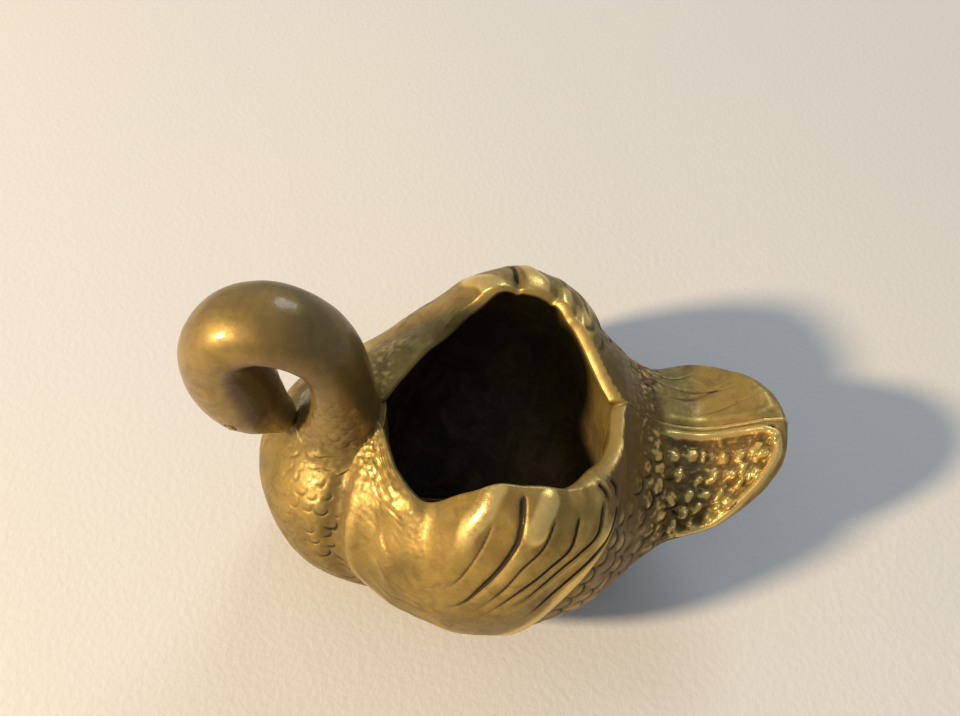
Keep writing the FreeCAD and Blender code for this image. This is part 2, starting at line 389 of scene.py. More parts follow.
# a U drawn on the body, its round end turned from straight down by the heading
def scaleLine(along, turn, size, heading, openness, count, sign):
    row = rowAt(along)
    centre = bodyPoint(row, turn, sign)
    down = bodyPoint(row, turn - 0.01, sign) - centre
    down /= np.linalg.norm(down)
    rear = bodyPoint(rowAt(along + 0.3), turn, sign) - centre
    rear -= down * (rear @ down)
    rear /= np.linalg.norm(rear)
    lead = down * math.cos(heading) + rear * math.sin(heading)
    side = rear * math.cos(heading) - down * math.sin(heading)
    angles = np.radians(np.linspace(-openness, openness, count))[:, None]
    return centre + size * (np.cos(angles) * lead * 1.15 + np.sin(angles) * side), centre, lead


wingShape = {
    "edge": [(15.5, 0.80), (14.6, 0.64), (16.8, 0.50), (22.5, 0.39), (30.0, 0.345), (36.0, 0.38),
             (41.5, 0.49), (46.5, 0.62), (50.4, 0.74), (53.0, 0.83), (55.0, 1.0)],
    "raise": 1.15, "lap": 0.11, "fullLap": 0.44,
    # the cuts between the feathers, each from its end near the rim: places, depth and width
    "cuts": [
        ([(36.6, 0.895), (35.2, 0.83), (33.2, 0.76), (31.0, 0.70), (28.5, 0.66)], 0.21, 0.20),
        ([(40.0, 0.985), (39.8, 0.90), (39.4, 0.84), (37.8, 0.77), (34.8, 0.69), (32.1, 0.63),
          (28.5, 0.585)], 0.51, 0.26),
        ([(43.9, 0.91), (42.3, 0.81), (39.9, 0.75), (37.6, 0.68), (35.0, 0.625),
          (31.5, 0.57)], 0.28, 0.20),
        ([(47.0, 0.92), (45.9, 0.80), (43.1, 0.74), (40.0, 0.68), (36.5, 0.61),
          (33.0, 0.55)], 0.36, 0.21),
        ([(50.2, 0.93), (49.3, 0.82), (46.8, 0.77), (43.5, 0.71), (39.8, 0.635),
          (35.5, 0.55)], 0.34, 0.21),
        ([(49.6, 1.0), (50.6, 0.95), (51.2, 0.89)], 0.41, 0.22),
        ([(51.6, 0.985), (52.5, 0.92), (52.7, 0.86)], 0.34, 0.21),
        ([(52.9, 0.86), (51.0, 0.79), (47.6, 0.72), (44.6, 0.66), (41.8, 0.60),
          (38.3, 0.51)], 0.41, 0.26),
        ([(31.0, 0.745), (29.5, 0.69), (26.5, 0.66), (24.0, 0.70)], 0.10, 0.22),
        ([(30.0, 0.66), (26.5, 0.60), (23.0, 0.61), (20.5, 0.67)], 0.12, 0.24),
        ([(31.0, 0.585), (27.0, 0.53), (22.5, 0.53), (19.0, 0.61)], 0.13, 0.24),
        ([(34.5, 0.53), (29.5, 0.465), (24.0, 0.46), (20.0, 0.53)], 0.13, 0.24),
        ([(37.0, 0.485), (32.0, 0.415), (26.0, 0.40), (21.5, 0.46)], 0.12, 0.24),
    ],
    "mainDepth": 0.2,  # deeper cuts part two feathers, the others are faint strokes
    "farShare": 0.6,  # how deep the right wing's cuts are beside the left wing's
    "rimNotches": (40.1, 45.8, 48.4), "notchDepth": (0.12, 0.5),  # left, right
}
breastShape = {
    "pitch": 2.05, "size": 1.0, "depth": 0.34, "width": 0.18, "crown": 0,
    "rows": 15, "columns": 9, "firstTurn": 0.95, "rowStep": 0.040, "start": 2.6,
    "limit": ([0.4, 0.53, 0.65, 0.76, 0.9], [19.5, 15.4, 13.2, 14.4, 16.2]),
    "heading": 0.45, "openness": (55, 95), "points": 8,
    "wander": 0.3, "swing": 0.3, "sizes": (0.8, 1.2), "strength": (0.15, 1.0),
}
flankShape = {
    "pitch": 3.2, "size": 1.7, "depth": 0.34, "width": 0.22, "crown": 0.07,
    "rows": 12, "columns": 10, "firstTurn": 0.90, "rowStep": 0.052, "start": 31.0,
    "wingEnd": ([0.3, 0.37, 0.49, 0.62, 0.74, 0.83, 0.9], [29, 35, 41.5, 46.5, 50.4, 53, 57]),
    "heading": 1.15, "openness": (80, 104), "points": 9,
    "wander": 0.25, "swing": 0.25, "sizes": (0.85, 1.12), "strength": (0.65, 1.0),
}
tailShape = {
    "rows": ((0.89, 63.0, 76.6), (0.815, 62.6, 75.8), (0.74, 62.6, 74.2), (0.665, 62.6, 71.0),
             (0.60, 62.4, 67.0)),
    "gap": 2.25, "stagger": 1.05, "bump": 0.85, "warp": 0.45,
    "border": 0.6, "borderWidth": 0.62, "sunk": 0.6, "farRidge": 0.22, "farLine": 0.17,
    "ridge": [(61.5, 0.975), (65.5, 0.975), (70.5, 0.975), (75.3, 0.965), (77.6, 0.90),
              (77.3, 0.78), (74.6, 0.68), (70.2, 0.61), (65.8, 0.555), (62.0, 0.53)],
    "lowerEdge": [(60.0, 0.52), (64.5, 0.545), (70.2, 0.61), (74.6, 0.68), (77.3, 0.79),
                  (78.2, 1.0)],
    "farLines": [[(62.5, 0.80), (67.0, 0.845), (71.0, 0.83), (75.0, 0.75)],
                 [(62.5, 0.87), (66.0, 0.885), (70.0, 0.84), (73.5, 0.745)],
                 [(61.5, 0.74), (65.0, 0.76), (69.0, 0.70)],
                 [(67.0, 0.955), (71.0, 0.93), (75.5, 0.86)]],
}
# soft swells and hollows: places, height or depth, width
swellShape = {
    "shoulder": ([(36.8, 1.0), (35.9, 0.945), (33.8, 0.885), (32.0, 0.816), (29.5, 0.75)], 1.05, 1.9),
    "knuckle": ([(43.0, 0.955), (42.4, 0.915), (41.6, 0.86)], 0.55, 1.5),
    "valley": ([(29.0, 1.0), (28.0, 0.92), (24.5, 0.84), (21.0, 0.76), (19.0, 0.64)], 0.7, 3.0),
    "crease": ([(16.5, 0.92), (14.3, 0.76), (13.0, 0.64), (14.4, 0.51), (19.5, 0.385)], 0.9, 1.7),
}
roughShape = {
    # hammered places: how rough, then centre and reach, lengthways and round the body
    "besideNeck": (20.3, 3.4, 0.93, 0.085), "besideNeckRough": (1.3, 0.4),  # left, right
    "others": [(0.45, 12.5, 3.0, 0.97, 0.06), (0.6, 59.5, 2.6, 0.85, 0.3)],
    "panel": 0.8, "coarse": 0.24, "fine": 0.28,
    "casting": ((0.10, 7.0), (0.05, 2.2)), "castingFine": 0.025,  # height and size of the unevenness
}
# how much rubbed places are lightened; on these places this is partly a painted highlight
polishAndHighlightShape = {"shoulder": 0.22, "knuckle": 0.22, "rough": 0.13, "border": 0.16}


def wingRelief(points, normals, along, turn, sign):
    shape = wingShape
    edge = np.array(shape["edge"])
    distance, place = lineField(points, lineOnBody(edge, 70, sign), 14)
    at = np.linspace(0, len(edge) - 1, 300)
    edgeTurn = np.interp(along, smoothTable(edge[:, 0], at), smoothTable(edge[:, 1], at))
    inside = (turn > edgeTurn) & (along > edge[0, 0]) & (along < edge[-1, 0])
    signed = np.where(inside, distance, -distance)
    strength = 0.25 + 0.75 * fade(0.18, 0.5, place)
    # the wing runs out into the rear of the rim
    merged = 1 - fade(0.76, 0.90, turn) * fade(49.0, 53.5, along)
    height = shape["raise"] * fade(-0.3, 0.9, signed) * fade(14.6, 22, along) * merged
    carved = -0.30 * strength * merged * np.exp(-((signed + 0.25) / 0.34) ** 2)
    soften = 1.0 if sign < 0 else shape["farShare"]
    for places, depth, width in shape["cuts"]:
        distance, place, side = lineField(points, lineOnBody(places, 44, sign), 4, normals)
        main = depth > shape["mainDepth"]
        if main:
            keep = fade(0.0, 0.07, place) * (1 - 0.9 * fade(0.55, 1.0, place))
        else:
            keep = np.sin(np.pi * np.clip(place, 0, 1)) ** 0.7
        carved = np.minimum(carved, -depth * soften * keep * np.exp(-(distance / width) ** 2))
        lap = np.where(side > 0, 1.0, -1.0) * np.exp(-distance / 1.1)
        lap = lap * (1 - np.exp(-(distance / 0.25) ** 2))
        height += shape["lap"] * min(depth / shape["fullLap"], 1.2) * keep * lap
    deep = shape["notchDepth"][0 if sign < 0 else 1]
    for notch in shape["rimNotches"]:
        height -= deep * np.exp(-((along - notch) / 0.55) ** 2) * fade(0.86, 0.97, turn)
        height += 0.35 * deep * np.exp(-((along - notch + 1.9) / 1.1) ** 2) * fade(0.80, 0.96, turn)
    return height, carved, signed


def scalesRelief(points, marks, shape):
    carved = np.zeros(points.shape[:-1])
    raised = np.zeros(points.shape[:-1])
    for line, centre, lead, size, strength in marks:
        distance, place = lineField(points, line, 1.6)
        ends = np.sin(np.pi * np.clip(place, 0.03, 0.97)) ** 0.5
        groove = shape["depth"] * strength * ends * np.exp(-(distance / shape["width"]) ** 2)
        carved = np.minimum(carved, -groove)
        if shape["crown"]:
            middle = np.linalg.norm(points - (centre + lead * size * 0.4), axis=-1)
            dome = np.clip(1 - (middle / (size * 1.1)) ** 2, 0, 1)
            raised = np.maximum(raised, shape["crown"] * strength * dome)
    return raised, carved


# how deep a mark is at a place on the breast or the flank, or None where there are none
def breastWeight(along, turn):
    limit = np.interp(turn, *breastShape["limit"])
    if along > limit or along < 3.4 + 2.5 * (turn > 0.85):
        return None
    return 0.5 + 0.6 * float(fade(limit - 6, limit - 1, along))


def flankWeight(along, turn):
    wingEnd = np.interp(turn, *flankShape["wingEnd"])
    return None if along < wingEnd + 1.2 or along > 62.2 - 34 * max(0.0, 0.56 - turn) else 1.0


def featherMarks(shape, weightAt, rng, sign):
    marks = []
    pitch, wander, swing = shape["pitch"], shape["wander"], shape["swing"]
    for r in range(shape["rows"]):
        turn = shape["firstTurn"] - shape["rowStep"] * r
        for c in range(shape["columns"]):
            stagger = pitch / 2 if r % 2 else 0.0
            along = shape["start"] + pitch * c + stagger + rng.uniform(-wander, wander)
            weight = weightAt(along, turn)
            if weight is None:
                continue
            size = shape["size"] * rng.uniform(*shape["sizes"])
            line, centre, lead = scaleLine(
                along, turn + rng.uniform(-0.008, 0.008), size,
                shape["heading"] + rng.uniform(-swing, swing), rng.uniform(*shape["openness"]),
                shape["points"], sign)
            marks.append((line, centre, lead, size, rng.uniform(*shape["strength"]) * weight))
    return marks


# rows of raised barbs on the left half of the tail
def tailBarbs(points, rng):
    shape = tailShape
    barbs = np.zeros(points.shape[:-1])
    noiseOut = [grain(points, 1.5, 51), grain(points, 1.5, 52), 0 * points[..., 0]]
    warped = points + shape["warp"] * np.stack(noiseOut, -1)
    for k, (laneTurn, start, end) in enumerate(shape["rows"]):
        for c in range(int((end - start) / shape["gap"]) + 1):
            stagger = shape["stagger"] if k % 2 else 0
            at = start + c * shape["gap"] + stagger + rng.uniform(-0.4, 0.4)
            centre = bodyPoint(rowAt(at), laneTurn + rng.uniform(-0.018, 0.018))
            delta = warped - centre
            lean = rng.uniform(0.15, 1.0)
            lengthways = delta[..., 0] * math.cos(lean) + delta[..., 1] * math.sin(lean)
            sideways = delta[..., 1] * math.cos(lean) - delta[..., 0] * math.sin(lean)
            away = (lengthways / rng.uniform(0.5, 0.75)) ** 2
            away = away + (sideways / rng.uniform(0.8, 1.4)) ** 2
            away += (delta[..., 2] / 1.7) ** 2
            barbs = np.maximum(barbs, shape["bump"] * rng.uniform(0.6, 1.2) * np.exp(-away ** 1.5))
    return barbs


# the surface of one half: how far it rises or sinks, and the marks that the brass is coloured by
def halfRelief(points, normals, along, turn, sign, rng, seed):
    def swell(name):
        places, height, width = swellShape[name]
        distance, place = lineField(points, lineOnBody(places, 28, sign))
        return height, np.exp(-(distance / width) ** 2), distance, place

    raised, carved, wingSigned = wingRelief(points, normals, along, turn, sign)
    offWing = fade(0.1, -0.7, wingSigned)
    height, shoulder, _, place = swell("shoulder")
    shoulder = shoulder * fade(1.0, 0.3, place)
    raised += height * shoulder
    height, knuckle, _, _ = swell("knuckle")
    raised += height * knuckle
    height, valley, _, place = swell("valley")
    raised -= height * valley * fade(1.0, 0.6, place)
    height, crease, creaseAway, place = swell("crease")
    creaseEnds = np.sin(np.pi * np.clip(place, 0.02, 0.98)) ** 0.6
    raised -= height * crease * creaseEnds

    for shape, weightAt in ((breastShape, breastWeight), (flankShape, flankWeight)):
        up, cut = scalesRelief(points, featherMarks(shape, weightAt, rng, sign), shape)
        raised, carved = raised + up * offWing, np.minimum(carved, cut * offWing)

    onTop = fade(60.6, 62.4, along)
    onTail = fade(61.0, 64.5, along)
    ridge, _ = lineField(points, lineOnBody(tailShape["ridge"], 90, sign))
    edgeTurn = np.interp(along, *np.array(tailShape["lowerEdge"]).T)
    panel = np.zeros_like(along)
    barbs = panel
    if sign < 0:
        panel = fade(0.3, 1.0, ridge) * (turn > edgeTurn) * (turn < 0.972) * (along < 77.6) * onTop
        raised -= tailShape["sunk"] * panel
        raised += tailShape["border"] * np.exp(-(ridge / tailShape["borderWidth"]) ** 2) * onTail
        barbs = tailBarbs(points, rng)
        raised += barbs * (panel > 0.05) * (1 + 0.5 * grain(points, 0.7, seed + 8))
    else:
        raised += tailShape["farRidge"] * np.exp(-(ridge / 0.9) ** 2) * fade(61.0, 64, along)
        for places in tailShape["farLines"]:
            distance, place = lineField(points, lineOnBody(places, 28, sign), 2.5)
            ends = np.sin(np.pi * np.clip(place, 0, 1)) ** 0.5
            carved -= tailShape["farLine"] * np.exp(-(distance / 0.2) ** 2) * ends

    def patch(middle, reach, middleTurn, turnReach):
        return np.exp(-(((along - middle) / reach) ** 2 + ((turn - middleTurn) / turnReach) ** 2))

    amount = roughShape["besideNeckRough"][0 if sign < 0 else 1]
    rough = amount * patch(*roughShape["besideNeck"])
    for amount, *where in roughShape["others"]:
        rough += amount * patch(*where)
    rough += roughShape["panel"] * panel
    coarse, fine = grain(points, 0.85, seed), grain(points, 0.5, seed + 1)
    raised += rough * (roughShape["coarse"] * coarse + roughShape["fine"] * fine)
    (broadHeight, broadSize), (smallHeight, smallSize) = roughShape["casting"]
    raised += (broadHeight * grain(points, broadSize, seed + 2)
               + smallHeight * grain(points, smallSize, seed + 3) + roughShape["castingFine"] * fine)

    # darker brown: a painted shadow at the rear of the body and the root of the tail, painted shade
    # on the flank behind the wing, darker towards the belly and along the crease, and tarnishing
    # between barbs
    behindWing = fade(44, 54, along) * fade(0.78, 0.62, turn) * fade(66, 61, along)
    betweenBarbs = panel * fade(0.25, 0.0, barbs)
    tarnishAndShade = 0.85 * fade(47, 54, along) * fade(62.6, 60.8, along)
    for amount, where in ((0.7, behindWing), (0.55, fade(0.42, 0.18, turn)), (0.75, betweenBarbs),
                          (0.45, np.exp(-(creaseAway / 2.0) ** 2) * creaseEnds)):
        tarnishAndShade = np.maximum(tarnishAndShade, amount * where)

    offFoot = fade(0.2, 2.2, points[..., 2])
    height = (raised + carved) * offFoot
    ends = np.minimum(fade(0.0, 1.2, along), fade(79.9, 78.9, along))
    height = height * (0.15 + 0.85 * ends)
    above = height - spread(height, 7)
    # painted highlight, on top of real rubbing, along the tail border, on the shoulder and knuckle
    # and on the hammered patches
    polishedAndHighlit = polishAndHighlightShape["border"] * np.exp(-(ridge / 0.8) ** 2) * onTail * (sign < 0)
    polishedAndHighlit += polishAndHighlightShape["shoulder"] * shoulder ** 2 * fade(0.80, 0.92, turn)
    polishedAndHighlit += polishAndHighlightShape["knuckle"] * knuckle ** 2
    polishedAndHighlit += polishAndHighlightShape["rough"] * np.clip(rough, 0, 1) * fade(0.0, 0.5, coarse)
    proud = np.maximum(above, 0) * (0.4 + 0.5 * fade(12.0, 17.0, along))
    relief = polishedAndHighlit + proud + np.minimum(above, 0) * 0.25 + carved * 0.9 * offFoot
    return height, relief, tarnishAndShade


# the rolled rim and the inside of the bowl, from the outer skin's edge inwards
def bowlLining(outerEdge, openRows, sign, seed):
    shape = bodyShape
    alongRows = smoothTable(rowTable[:, 0], openRows)
    startAlong, endAlong = alongRows[0], alongRows[-1]
    travel = (alongRows - startAlong) / (endAlong - startAlong)
    front, rear = shape["frontWall"], shape["wall"]
    innerAlong = startAlong + front + travel * (endAlong - startAlong - front - rear)
    bulge = np.sqrt(np.clip(1 - np.abs(2 * travel - 1) ** 3.2, 0, 1))
    innerRow = rowAt(innerAlong)
    half, under, middle = [smoothTable(rowTable[:, k], innerRow) for k in (1, 2, 3)]
    rimIn = shape["rimIn"] * (0.3 + 0.7 * fade(26, 34, alongRows))
    rimIn = rimIn + (shape["rearRimIn"][0 if sign < 0 else 1] - rimIn) * fade(46, 51, alongRows)
    opening = smoothTable(rowTable[:, 4 if sign < 0 else 5], openRows)
    edgeOut = np.maximum(opening - rimIn, shape["seam"])
    edgeUp = outerEdge[:, 2] - shape["rimDrop"] * (0.6 + 0.4 * rimIn)
    innerHalf = np.maximum((half - shape["wall"]) * bulge, edgeOut + 0.02)
    innerUnder = np.maximum(under, 0) + shape["floor"] + 9.0 * (1 - bulge) ** 2
    rimAlong = innerAlong - shape["frontThin"] * fade(0.42, 0.1, travel)  # a thin edge by the neck
    innerEdge = np.stack([rimAlong, edgeOut, edgeUp], -1)
    corner = innerEdge * 0.45 + outerEdge * 0.55
    corner[:, 2] = outerEdge[:, 2] + 0.12
    s = np.linspace(0, 1, shape["rimColumns"])[None, 1:, None]
    rim = ((1 - s) ** 2 * outerEdge[:, None] + 2 * s * (1 - s) * corner[:, None]
           + s**2 * innerEdge[:, None])
    a = np.linspace(0, 1, shape["innerColumns"])[None, 1:]
    up = a < 0.45
    angle = np.where(up, a / 0.45, (a - 0.45) / 0.55) * math.pi / 2
    out = np.where(up, edgeOut[:, None] + (innerHalf - edgeOut)[:, None] * np.sin(angle),
                   innerHalf[:, None] * np.cos(angle))
    high = np.where(up, middle[:, None] + (edgeUp - middle)[:, None] * np.cos(angle),
                    middle[:, None] - (middle - innerUnder)[:, None] * np.sin(angle))
    lengthways = rimAlong[:, None] + (innerAlong - rimAlong)[:, None] * fade(0.0, 0.3, a)
    inner = np.stack([lengthways, out, high], -1)
    lumps = 0.22 * grain(inner, 3.0, seed + 5) + 0.12 * grain(inner, 1.2, seed + 6)
    inner[..., 1] -= lumps * fade(0.6, 3.0, inner[..., 1])
    inner[..., 1] = np.maximum(inner[..., 1], shape["seam"])
    inner[[0, -1], :, 1] = shape["seam"]
    inner[:, -1, 1] = shape["seam"]
    lining = np.concatenate([outerEdge[:, None], rim, inner], 1)

    # dark inside, partly tarnishing and partly painted shade, less so high on the rear wall where the
    # light is painted in, and a shining rim
    rimColumns = shape["rimColumns"]
    insideTarnishAndShade, rimShine = np.zeros(lining.shape[:2]), np.zeros(lining.shape[:2])
    deep = fade(0.0, 22.0, edgeUp[:, None] - inner[..., 2])
    rearward = fade(27, 45, inner[..., 0])
    insideTarnishAndShade[:, rimColumns:] = 1 - 0.92 * rearward * (1 - 0.7 * deep)
    insideTarnishAndShade[:, rimColumns - 1] = insideTarnishAndShade[:, rimColumns] * 0.5
    rimShine[:, :rimColumns - 1] = 0.02 + 0.07 * fade(28, 36, alongRows)[:, None]
    return lining, insideTarnishAndShade, rimShine


def makeHalf(name, sign, node, seed):
    shape = bodyShape
    rng = np.random.default_rng(seed)
    side = bodyPoint(fineRows, 0.6)
    run = np.cumsum(np.linalg.norm(np.diff(side, axis=0), axis=1) + 0.004)
    run = np.concatenate([[0], run])
    rows = np.interp(np.linspace(0, run[-1], shape["gridRows"]), run, fineRows)
    for special in (shape["openFrom"], shape["openTo"]):
        rows[np.abs(rows - special).argmin()] = special
    turns = np.linspace(0, 1, shape["gridColumns"])
    points = bodyPoint(rows[:, None], turns[None, :], sign)
    along = points[..., 0]
    turn = np.broadcast_to(turns[None, :], along.shape)
    normals = normalsOf(points)
    if normals[len(rows) // 2, len(turns) // 2, 1] < 0:
        normals = -normals
    height, relief, tarnishAndShade = halfRelief(points, normals, along, turn, sign, rng, seed)
    points = points + normals * height[..., None]
    if sign > 0:  # the two castings don't quite line up at the rear of the rim
        step = np.exp(-(((along - shape["stepAt"]) / 3.0) ** 2)) * fade(0.9, 1.0, turn)
        points[..., 2] -= shape["step"] * step
    points[..., 1] = np.maximum(points[..., 1], shape["seam"])
    points[..., 2] = np.maximum(points[..., 2], 0)
    points[:, 0, 1] = shape["seam"]
    isOpen = (rows >= shape["openFrom"]) & (rows <= shape["openTo"])
    points[~isOpen, -1, 1] = shape["seam"]
    first, last = np.where(isOpen)[0][[0, -1]]
    points[first, -1, 1] = points[last, -1, 1] = shape["seam"]

    outerEdge = points[first:last + 1, -1]
    lining, insideTarnishAndShade, rimShine = bowlLining(outerEdge, rows[first:last + 1], sign, seed)
    outerCount = points.shape[0] * points.shape[1]
    allPoints = np.concatenate([points.reshape(-1, 3), lining.reshape(-1, 3)])
    faces = gridFaces(*points.shape[:2]) + gridFaces(*lining.shape[:2], outerCount)
    marks = {
        "relief": np.concatenate([relief.ravel(), rimShine.ravel()]),
        "inside": np.concatenate([np.zeros(outerCount), insideTarnishAndShade.ravel()]),
        "tarnishAndShade": np.concatenate([tarnishAndShade.ravel(), np.zeros(insideTarnishAndShade.size)]),
    }
    allPoints[:, 1] *= sign
    placed = allPoints * scaleOf + breastAt
    addPiece(name, placed, faces, node, bodyBrass, marks)
    return points, lining, first, last


leftPoints, leftLining, openFirst, openLast = makeHalf("leftHalf", -1, "left_body_half", 3)
makeHalf("rightHalf", 1, "right_body_half", 11)

# brazing between the halves

seamShape = {"proud": 0.07, "uneven": 0.10}
outline = np.concatenate([
    leftPoints[openFirst:0:-1, -1], leftPoints[:, 0], leftPoints[:openLast:-1, -1],
    leftLining[-1, :-1], leftLining[::-1, -1], leftLining[0, -2:0:-1],
])[:, [0, 2]]
outline = outline[np.linalg.norm(np.diff(outline, axis=0, append=outline[:1]), axis=1) > 0.02]


def makeSeam():
    tangent = np.roll(outline, -3, 0) - np.roll(outline, 3, 0)
    tangent /= np.linalg.norm(tangent, axis=1, keepdims=True) + 1e-9
    away = np.stack([tangent[:, 1], -tangent[:, 0]], -1)
    following = np.roll(outline, -1, 0)
    if np.sum(outline[:, 0] * following[:, 1] - following[:, 0] * outline[:, 1]) < 0:
        away = -away
    flat = np.stack([outline[:, 0], np.zeros(len(outline)), outline[:, 1]], -1)
    bead = seamShape["proud"] + seamShape["uneven"] * grain(flat, 1.6, 21)
    bead = np.maximum(bead, 0.02) * fade(0.1, 1.5, outline[:, 1])
    rings = []
    for y, lift in ((-1.0, 0.0), (-0.55, 0.8), (0.0, 1.0), (0.55, 0.8), (1.0, 0.0)):
        moved = outline + away * (bead * lift)[:, None]
        out = np.full(len(moved), y * bodyShape["seam"])
        rings.append(np.stack([moved[:, 0], out, moved[:, 1]], -1))
    grid = np.stack(rings, 1)
    faces = gridFaces(*grid.shape[:2], looped=True)
    placed = grid.reshape(-1, 3) * scaleOf + breastAt
    placed[:, 2] = np.maximum(placed[:, 2], 0)
    along = placed[:, 0] - breastAt[0]
    # the bead is rubbed brighter towards the tail, partly a painted highlight, and carries a painted
    # shadow at the root of the tail
    marks = {"relief": 0.03 + 0.14 * fade(60, 63, along), "inside": np.zeros(len(placed)),
             "tarnishAndShade": 0.7 * fade(54, 56, along) * fade(62.4, 61, along)}
    addPiece("seamBraze", placed, faces, "centre_seam_braze", brazeBrass, marks)


makeSeam()

# neck, head and bill

neckShape = {
    # behind the front of the neck's curve, height, thickness fore and aft, and across (all halves)
    "rows": [
        (20.0, 24.8, 7.2, 8.2), (20.5, 29.5, 6.6, 7.8), (21.6, 34.0, 5.3, 6.3),
        (22.0, 39.5, 4.4, 5.3), (21.8, 45.8, 4.1, 5.3), (19.2, 51.3, 3.9, 5.6),
        (14.0, 54.2, 3.95, 5.8), (9.0, 52.5, 4.3, 5.8), (6.8, 47.0, 5.4, 5.6),
        (6.9, 41.6, 5.9, 5.5), (7.9, 37.2, 5.5, 5.5), (9.7, 34.2, 4.4, 4.7),
        (11.5, 32.0, 3.0, 3.4), (13.0, 30.6, 1.9, 2.4), (14.0, 29.8, 0.3, 0.5),
    ],
    "gridRows": 330, "gridColumns": 132, "smooth": 120,
    "drawnTop": 58.35, "forward": 0.5,
    "strokeRows": 11, "strokeColumns": 9, "firstStroke": 30.0, "strokeStep": 1.45,
    "strokeAngle": 0.40, "strokeSize": 1.05, "strokeDepth": (0.08, 0.24),
    "roughHeight": 30.5, "roughReach": 2.6,
}
faceShape = {  # on one side: behind the front of the curve, out from the middle, height
    "eye": (6.6, 5.2, 36.4), "eyeSize": 0.5, "eyeRing": 0.8,
    "mouth": [(6.6, 5.1, 35.0), (8.4, 4.7, 33.6), (10.4, 3.7, 32.2), (12.8, 2.2, 30.5)],
    "nostril": [(9.2, 4.2, 31.9), (10.3, 3.6, 31.0)],
    "lineWidth": 0.22,
}


def neckGrid():
    shape = neckShape
    table = np.array(shape["rows"])
    fine = np.linspace(0, len(table) - 1, 3001)
    path = np.stack([smoothTable(table[:, 0], fine), smoothTable(table[:, 1], fine)], -1)
    reach = shape["smooth"]
    kernel = np.ones(2 * reach + 1) / (2 * reach + 1)
    padded = np.pad(path, ((reach, reach), (0, 0)), mode="reflect", reflect_type="odd")
    path = np.stack([np.convolve(padded[:, k], kernel, "valid") for k in (0, 1)], -1)
    run = np.concatenate([[0], np.cumsum(np.linalg.norm(np.diff(path, axis=0), axis=1))])
    at = np.interp(np.linspace(0, run[-1], shape["gridRows"]), run, fine)
    centre = np.stack([np.interp(at, fine, path[:, 0]), np.interp(at, fine, path[:, 1])], -1)
    deep, broad = smoothTable(table[:, 2], at), smoothTable(table[:, 3], at)
    ahead = np.gradient(centre, axis=0)
    ahead /= np.linalg.norm(ahead, axis=1, keepdims=True)
    outward = np.stack([ahead[:, 1], -ahead[:, 0]], -1)  # away from the inside of the loop
    around = np.linspace(0, 2 * math.pi, shape["gridColumns"], endpoint=False)[None, :]
    progress = np.linspace(0, 1, shape["gridRows"])[:, None]
    flat = fade(0.16, 0.30, progress) * fade(0.97, 0.85, progress)  # flatter inside the loop
    turned = np.cos(around)
    inner = -np.abs(turned) ** (1 - 0.25 * flat)
    inPlane = deep[:, None] * np.where(turned < 0, inner, turned)
    points = np.stack([
        centre[:, None, 0] + outward[:, None, 0] * inPlane,
        broad[:, None] * np.sin(around),
        centre[:, None, 1] + outward[:, None, 1] * inPlane,
    ], -1)
    normals = np.cross(np.gradient(points, axis=0), np.roll(points, -1, 1) - np.roll(points, 1, 1))
    normals /= np.linalg.norm(normals, axis=-1, keepdims=True) + 1e-9
    middle = shape["gridRows"] // 2
    if normals[middle, 0] @ np.array([outward[middle, 0], 0, outward[middle, 1]]) < 0:
        normals = -normals
    return points, normals, progress, flat, turned


# short feather strokes up the front and sides of the lower neck
def neckStrokes(points):
    shape = neckShape
    carved = np.zeros(points.shape[:-1])
    rng = np.random.default_rng(8)
    columns = shape["gridColumns"]
    lower = points[:shape["gridRows"] // 2, 0, 2]
    for k in range(shape["strokeRows"]):
        for c in range(shape["strokeColumns"]):
            ringRow = int(np.abs(lower - (shape["firstStroke"] + shape["strokeStep"] * k)).argmin())
            angle = math.pi + (c - 4 + (0.5 if k % 2 else 0)) * shape["strokeAngle"]
            column = int(round(angle / (2 * math.pi) * columns)) % columns
            spot = points[ringRow, column]
            tangent = points[ringRow, (column + 3) % columns] - spot
            tangent /= np.linalg.norm(tangent)
            upward = points[ringRow + 3, column] - spot
            upward /= np.linalg.norm(upward)
            size = shape["strokeSize"] * rng.uniform(0.8, 1.15)
            angles = np.radians(np.linspace(-95, 95, 7))[:, None]
            arc = spot + size * (np.sin(angles) * tangent - np.cos(angles) * upward)
            distance, _ = lineField(points, arc, 1.2)
            strength = rng.uniform(*shape["strokeDepth"]) * (1 - k / 13)
            carved = np.minimum(carved, -strength * np.exp(-(distance / 0.2) ** 2))
    return carved


